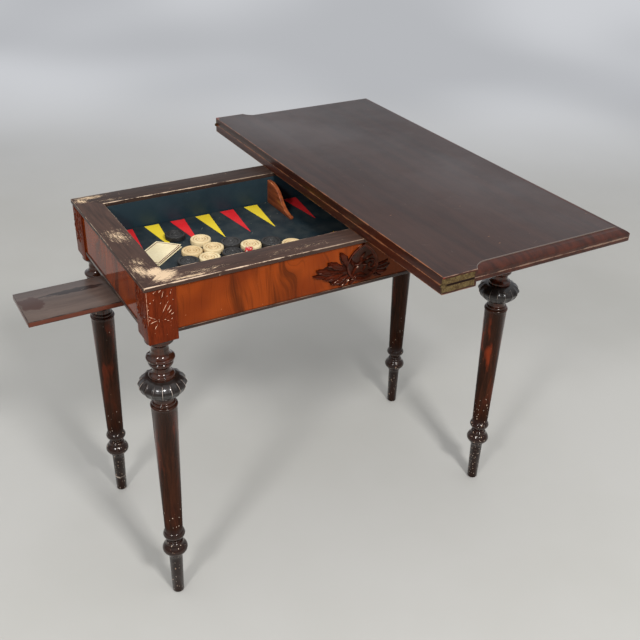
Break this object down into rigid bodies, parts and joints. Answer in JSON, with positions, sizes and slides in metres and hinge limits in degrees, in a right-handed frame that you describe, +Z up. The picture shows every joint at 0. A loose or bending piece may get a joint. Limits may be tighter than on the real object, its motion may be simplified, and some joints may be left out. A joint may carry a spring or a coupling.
{
  "type": "games table",
  "caption": "Games table on turned legs: a folding top with brass end hinges turns on a pivot over a sunk backgammon board, with pull-out slides under the ends.",
  "frame": {"origin": "on the floor, under the middle of the table's box as it stands with the top turned a quarter turn and the left slide out", "axes": "+X along the table frame to the right of its front, +Y from its front to its back, +Z up"},
  "size_m": [1.003, 0.9, 0.7607],
  "materials": {
    "turned_leg": "dark stained mahogany, french polished, worn",
    "veneered_rail": "flame mahogany veneer, french polished",
    "dark_bead": "black stained strip, polished",
    "worn_rim": "dark stained boards, finish worn through at the corners",
    "well_paint": "boards painted dark teal, matt",
    "inner_wood": "plain softwood, unpolished",
    "red_coat": "flat paint",
    "yellow_coat": "flat paint",
    "divider_wood": "polished mahogany",
    "carved_wood": "carved mahogany, french polished",
    "iron": "dull iron",
    "table_top": "mahogany, old polish gone dull",
    "hinge_brass": "dull brass",
    "slide_board": "worn polish with dark streaks",
    "cream_draught": "turned boxwood, waxed",
    "black_draught": "turned, ebonised wood",
    "red_die": "polished",
    "cream_card": "stiff card, yellowed"
  },
  "bodies": {
    "frame": {"leg_front_left": "turned_leg", "leg_front_right": "turned_leg", "leg_back_left": "turned_leg", "leg_back_right": "turned_leg", "front_rail": "veneered_rail", "back_rail": "veneered_rail", "left_rail": "veneered_rail", "right_rail": "veneered_rail", "front_bead": "dark_bead", "back_bead": "dark_bead", "left_bead": "dark_bead", "right_bead": "dark_bead", "front_rim": "worn_rim", "back_rim": "worn_rim", "left_rim": "worn_rim", "right_rim": "worn_rim", "well_floor": "well_paint", "front_lining": "well_paint", "back_lining": "well_paint", "left_lining": "well_paint", "right_lining": "well_paint", "front_cleat": "inner_wood", "back_cleat": "inner_wood", "left_cleat": "inner_wood", "right_cleat": "inner_wood", "left_runners": "inner_wood", "right_runners": "inner_wood", "left_backstop": "inner_wood", "right_backstop": "inner_wood", "pivot_rail": "inner_wood", "red_points": "red_coat", "yellow_points": "yellow_coat", "front_divider": "divider_wood", "back_divider": "divider_wood", "front_carving": "carved_wood", "turn_stop_pin": "iron", "cream_draughts": "cream_draught", "black_draughts": "black_draught", "die": "red_die", "card": "cream_card"},
    "turning_top": {"lower_leaf": "table_top", "pivot_bolt": "iron", "pivot_screws": "iron", "pivot_washer": "iron", "pivot_nut": "iron", "lower_plate_near": "hinge_brass", "lower_plate_far": "hinge_brass", "lower_hinge_screws": "hinge_brass", "hinge_pin_near": "hinge_brass", "hinge_pin_far": "hinge_brass"},
    "folding_leaf": {"upper_leaf": "table_top", "upper_plate_near": "hinge_brass", "upper_plate_far": "hinge_brass", "upper_hinge_screws": "hinge_brass"},
    "left_tray": {"left_slide": "slide_board", "left_slide_stop": "inner_wood"},
    "right_tray": {"right_slide": "slide_board", "right_slide_stop": "inner_wood"}
  },
  "joints": [
    {"name": "top_turn", "type": "hinge", "parent": "frame", "child": "turning_top", "pos_m": [0.1795, 0.108, 0.728], "axis": [0, 0, 1], "range_deg": [-90, 0]},
    {"name": "leaf_fold", "type": "hinge", "parent": "turning_top", "child": "folding_leaf", "pos_m": [0.0813, 0, 0.7445], "axis": [0, -1, 0], "range_deg": [0, 180]},
    {"name": "left_slide_run", "type": "slide", "parent": "frame", "child": "left_tray", "axis": [-1, 0, 0], "range_m": [-0.165, 0.025]},
    {"name": "right_slide_run", "type": "slide", "parent": "frame", "child": "right_tray", "axis": [1, 0, 0], "range_m": [0, 0.19]}
  ]
}
